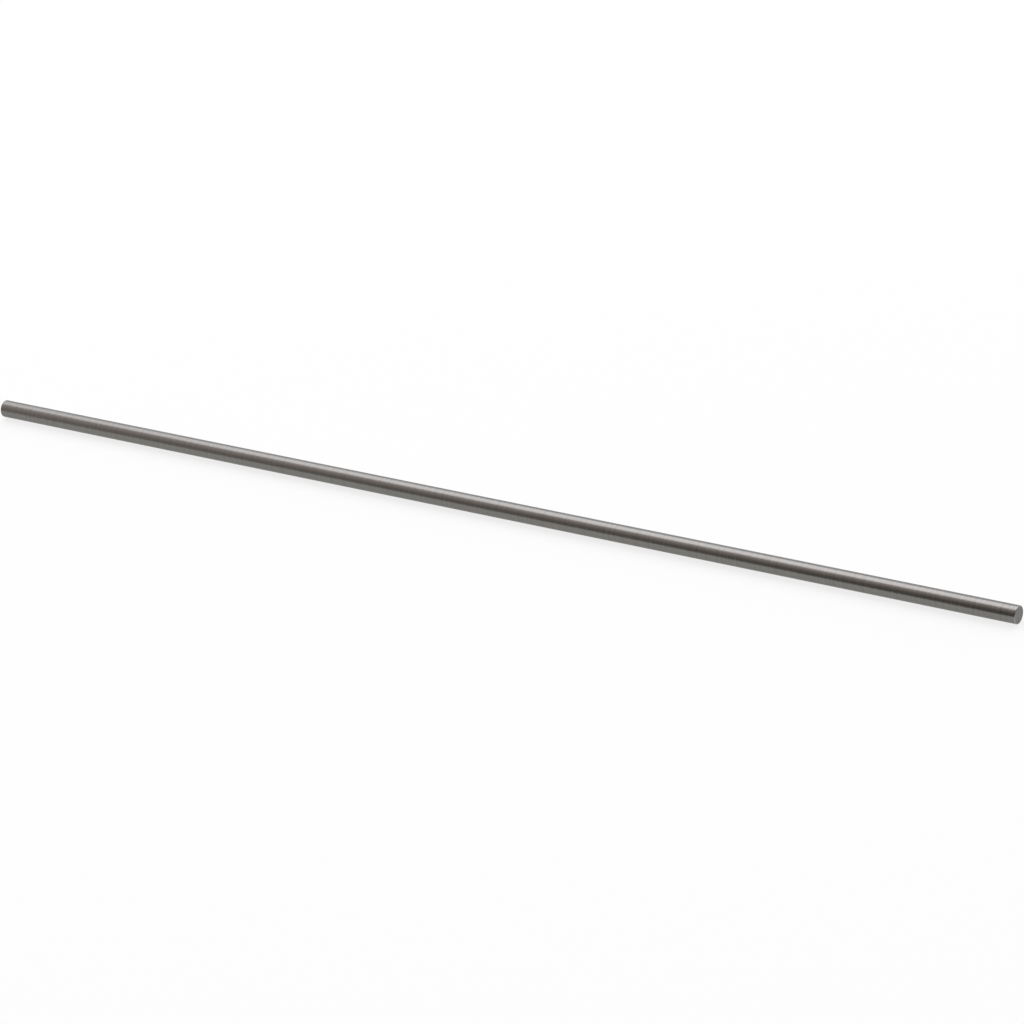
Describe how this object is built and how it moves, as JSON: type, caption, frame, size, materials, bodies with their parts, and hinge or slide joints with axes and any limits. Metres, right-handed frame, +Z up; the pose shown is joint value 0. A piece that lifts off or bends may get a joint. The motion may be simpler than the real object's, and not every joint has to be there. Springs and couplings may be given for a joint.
{
  "type": "pin gauge",
  "caption": "Thin straight steel pin, ground and lapped to one exact diameter, that checks a small hole by going in or not.",
  "frame": {"origin": "on the pin's axis, half way between the two end faces", "axes": "+X along the pin, +Z up; the pin lies level"},
  "size_m": [0.0508, 0.0008, 0.0008],
  "materials": {
    "ground_steel": "bare hardened steel, ground and lapped along the side, ground square and left duller on the ends"
  },
  "bodies": {
    "root": {"gauge_pin": "ground_steel"}
  },
  "joints": []
}
